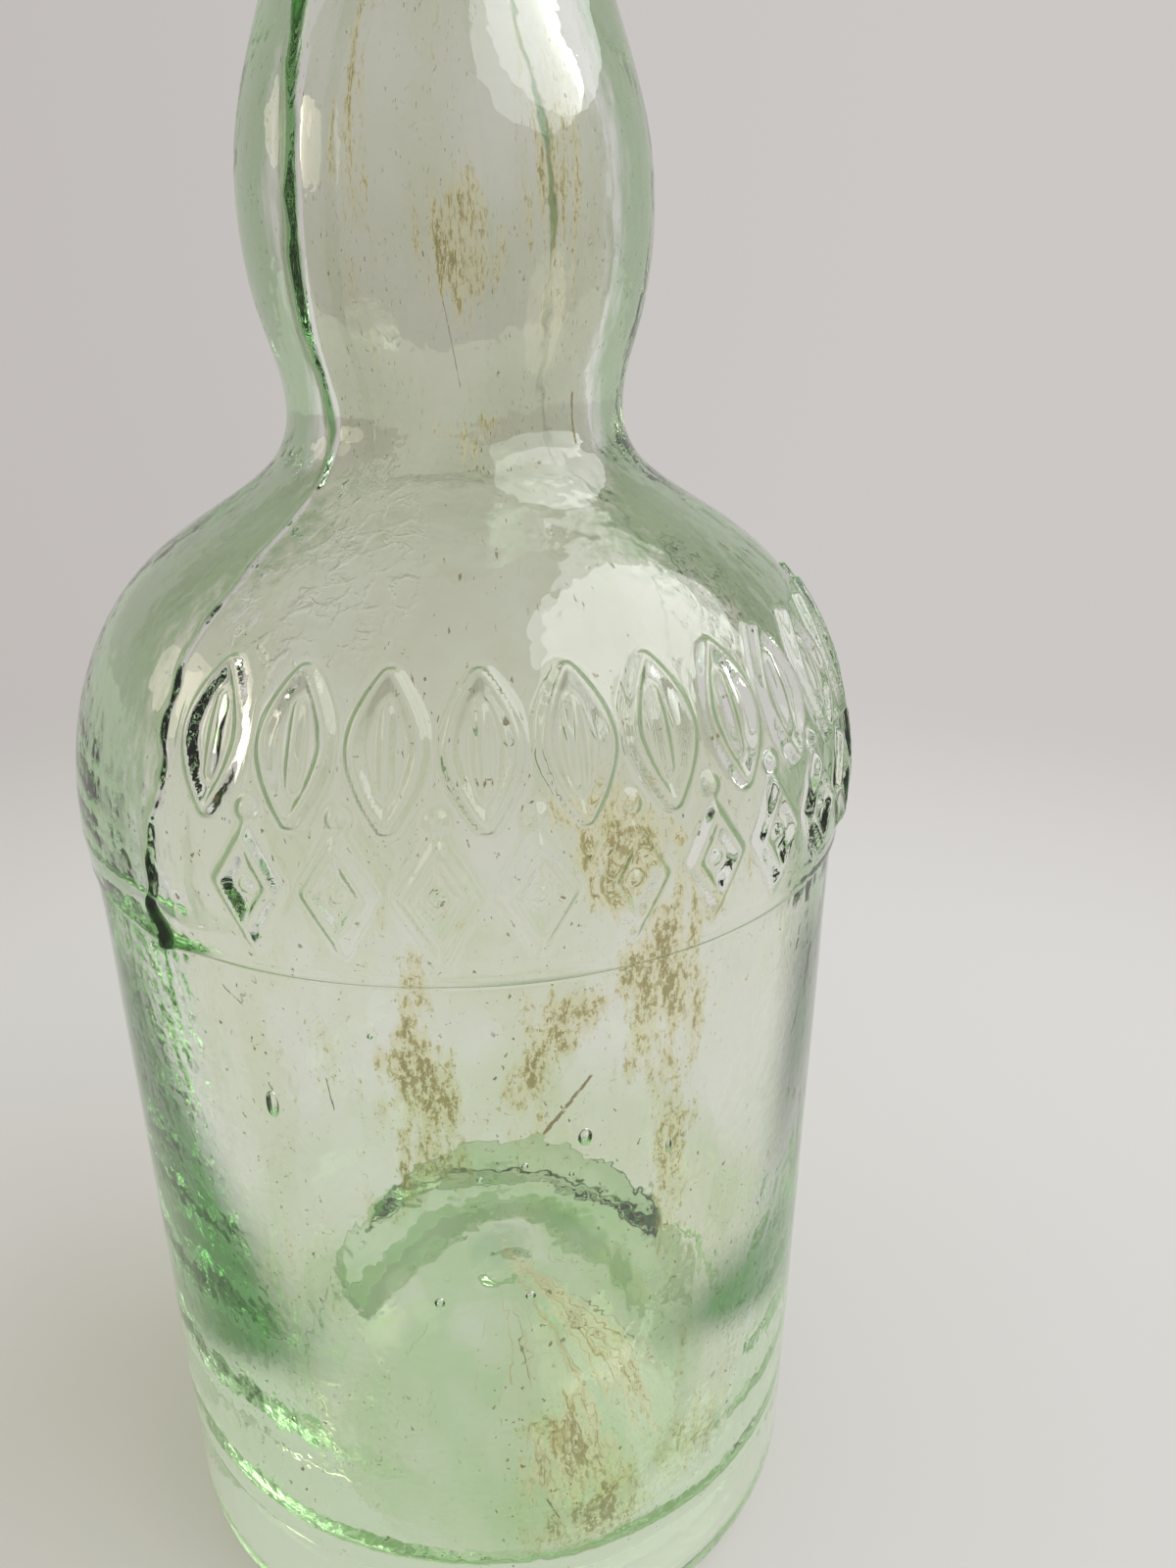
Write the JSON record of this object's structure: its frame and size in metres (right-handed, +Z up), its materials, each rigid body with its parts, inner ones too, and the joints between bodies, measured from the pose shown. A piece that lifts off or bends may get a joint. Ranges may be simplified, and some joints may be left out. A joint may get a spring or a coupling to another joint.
{
  "type": "whisky bottle",
  "caption": "Round pale green glass whisky bottle with a pushed-up base, domed shoulder and swollen neck, closed by a pull-out stopper cork with a turned wooden head.",
  "frame": {"origin": "middle of the foot ring, on the surface that the bottle stands on", "axes": "+Z up along the bottle's axis, from the foot to the stopper; the bottle is round, so X and Y are any two directions square to it"},
  "size_m": [0.0968, 0.0968, 0.2515],
  "materials": {
    "green_glass": "polished, with mould seams, bubbles and scratches",
    "cork": "matt, pitted",
    "turned_wood": "oiled, satin",
    "dowel_wood": "plain, unfinished"
  },
  "bodies": {
    "bottle": {"glass_bottle": "green_glass"},
    "stopper": {"cork_shank": "cork", "stopper_head": "turned_wood", "stopper_dowel": "dowel_wood"}
  },
  "joints": [
    {"name": "stopper_pull", "type": "slide", "parent": "bottle", "child": "stopper", "axis": [0, 0, 1], "range_m": [0, 0.045]}
  ]
}
